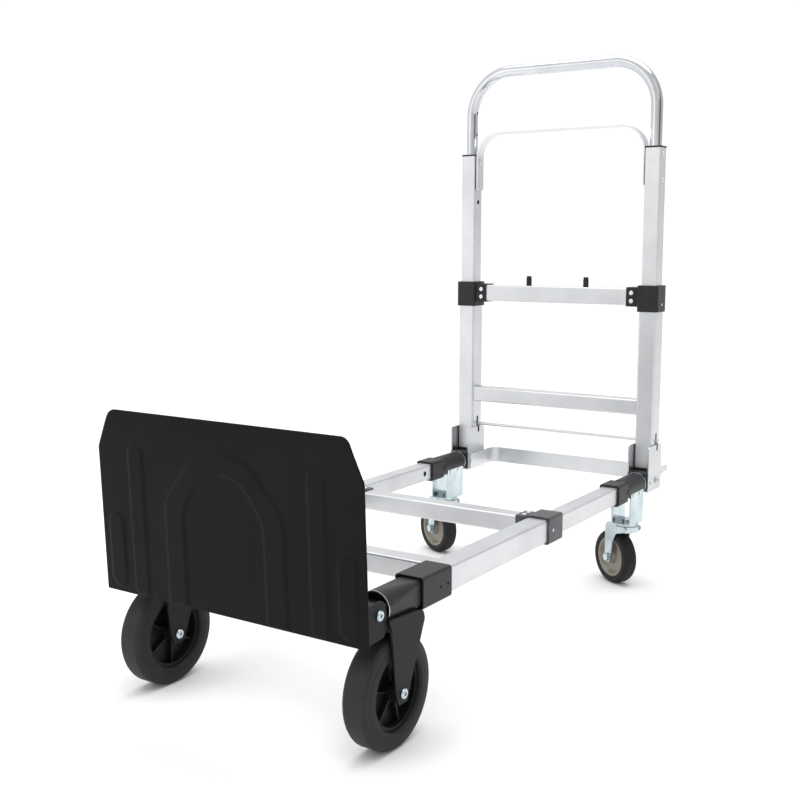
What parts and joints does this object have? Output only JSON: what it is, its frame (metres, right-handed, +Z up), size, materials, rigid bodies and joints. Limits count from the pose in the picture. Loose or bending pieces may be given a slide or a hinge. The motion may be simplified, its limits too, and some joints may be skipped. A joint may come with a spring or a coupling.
{
  "type": "folding platform cart",
  "caption": "Folding platform cart on telescoping aluminium rails, with an embossed nose plate, a fold-down telescoping upright with a loop handle, and swivel casters.",
  "frame": {"origin": "on the floor, on the centre line, below the lower part of the nose plate's front face", "axes": "+X to the right rail, +Y along the rails from the nose plate to the upright, +Z up"},
  "size_m": [0.4948, 1.0334, 0.978],
  "materials": {
    "rail_aluminium": "satin anodised, drawn along the tube",
    "black_moulding": "fine moulded grain",
    "black_steel": "satin black powder coat",
    "strap_aluminium": "satin, drawn flat bar",
    "bracket_steel": "pressed bright plate",
    "plate_black": "satin black powder coat over pressed sheet",
    "tyre_rubber": "solid black rubber",
    "front_hub_plastic": "moulded black plastic",
    "caster_hub_plastic": "moulded grey-brown plastic",
    "zinc_steel": "zinc plated",
    "rivet_aluminium": "plain",
    "handle_polished": "polished"
  },
  "bodies": {
    "front_frame": {"outer_rail_left": "rail_aluminium", "outer_rail_right": "rail_aluminium", "front_collar_left": "black_moulding", "front_collar_right": "black_moulding", "front_sleeve_left": "black_moulding", "front_sleeve_right": "black_moulding", "wheel_fork_left": "black_steel", "wheel_fork_right": "black_steel", "rail_collar_left": "black_moulding", "rail_collar_right": "black_moulding", "front_crossbar": "rail_aluminium", "mid_crossbar": "rail_aluminium", "front_sleeve_rims": "zinc_steel", "front_bolts": "zinc_steel", "rail_rivets": "rivet_aluminium"},
    "nose": {"nose_plate": "plate_black", "nose_plate_ears": "black_steel"},
    "front_wheel_left": {"front_tyre_left": "tyre_rubber", "front_hub_left": "front_hub_plastic"},
    "front_wheel_right": {"front_tyre_right": "tyre_rubber", "front_hub_right": "front_hub_plastic"},
    "rear_frame": {"inner_rail_left": "rail_aluminium", "inner_rail_right": "rail_aluminium", "rear_sleeve_left": "black_moulding", "rear_sleeve_right": "black_moulding", "caster_bracket_left": "zinc_steel", "caster_bracket_right": "zinc_steel", "hinge_bracket_left": "bracket_steel", "hinge_bracket_right": "bracket_steel", "rear_sleeve_rims": "zinc_steel", "caster_bracket_rivets": "rivet_aluminium", "caster_kingpins": "zinc_steel", "rear_strap": "strap_aluminium", "rear_strap_rivets": "rivet_aluminium", "pivot_bolts": "zinc_steel"},
    "caster_left": {"caster_fork_left": "zinc_steel", "caster_axle_left": "zinc_steel"},
    "caster_right": {"caster_fork_right": "zinc_steel", "caster_axle_right": "zinc_steel"},
    "caster_wheel_left": {"caster_tread_left": "tyre_rubber", "caster_hub_left": "caster_hub_plastic"},
    "caster_wheel_right": {"caster_tread_right": "tyre_rubber", "caster_hub_right": "caster_hub_plastic"},
    "upright": {"upright_tube_left": "rail_aluminium", "upright_tube_right": "rail_aluminium", "upright_collar_left": "black_moulding", "upright_collar_right": "black_moulding", "upright_feet": "black_moulding", "upright_lower_crossbar": "rail_aluminium", "upright_crossbar": "rail_aluminium", "upright_rivets": "rivet_aluminium", "crossbar_pegs": "black_moulding"},
    "upper_upright": {"upper_tube_left": "rail_aluminium", "upper_tube_right": "rail_aluminium", "tube_plug_left": "black_moulding", "tube_plug_right": "black_moulding", "top_strap": "strap_aluminium", "top_strap_rivets": "rivet_aluminium"},
    "handle": {"handle_tube": "handle_polished"},
    "locking_rod": {"lock_rod": "strap_aluminium"}
  },
  "joints": [
    {"name": "nose_plate_fold", "type": "hinge", "parent": "front_frame", "child": "nose", "pos_m": [0, 0.035, 0.1887], "axis": [-1, 0, 0], "range_deg": [0, 92.4]},
    {"name": "front_wheel_left_spin", "type": "hinge", "parent": "front_frame", "child": "front_wheel_left", "pos_m": [-0.1935, 0.082, 0.075], "axis": [1, 0, 0], "continuous": true},
    {"name": "front_wheel_right_spin", "type": "hinge", "parent": "front_frame", "child": "front_wheel_right", "pos_m": [0.1935, 0.082, 0.075], "axis": [1, 0, 0], "continuous": true},
    {"name": "rail_telescope", "type": "slide", "parent": "front_frame", "child": "rear_frame", "axis": [0, 1, 0], "range_m": [-0.23, 0]},
    {"name": "caster_left_swivel", "type": "hinge", "parent": "rear_frame", "child": "caster_left", "pos_m": [-0.1935, 0.872, 0.11], "axis": [0, 0, 1], "continuous": true},
    {"name": "caster_left_roll", "type": "hinge", "parent": "caster_left", "child": "caster_wheel_left", "pos_m": [-0.22273, 0.88502, 0.05], "axis": [0.4067, 0.9135, 0], "continuous": true},
    {"name": "caster_right_swivel", "type": "hinge", "parent": "rear_frame", "child": "caster_right", "pos_m": [0.1935, 0.872, 0.11], "axis": [0, 0, 1], "continuous": true},
    {"name": "caster_right_roll", "type": "hinge", "parent": "caster_right", "child": "caster_wheel_right", "pos_m": [0.16607, 0.88848, 0.05], "axis": [0.515, 0.8572, 0], "continuous": true},
    {"name": "upright_fold", "type": "hinge", "parent": "rear_frame", "child": "upright", "pos_m": [0, 0.962, 0.188], "axis": [-1, 0, 0], "range_deg": [0, 90]},
    {"name": "upright_telescope", "type": "slide", "parent": "upright", "child": "upper_upright", "axis": [0, 0, 1], "range_m": [-0.175, 0]},
    {"name": "handle_telescope", "type": "slide", "parent": "upper_upright", "child": "handle", "axis": [0, 0, 1], "range_m": [-0.068, 0]},
    {"name": "locking_rod_lift", "type": "slide", "parent": "upright", "child": "locking_rod", "axis": [0, 0, 1], "range_m": [-0.015, 0.012]}
  ]
}
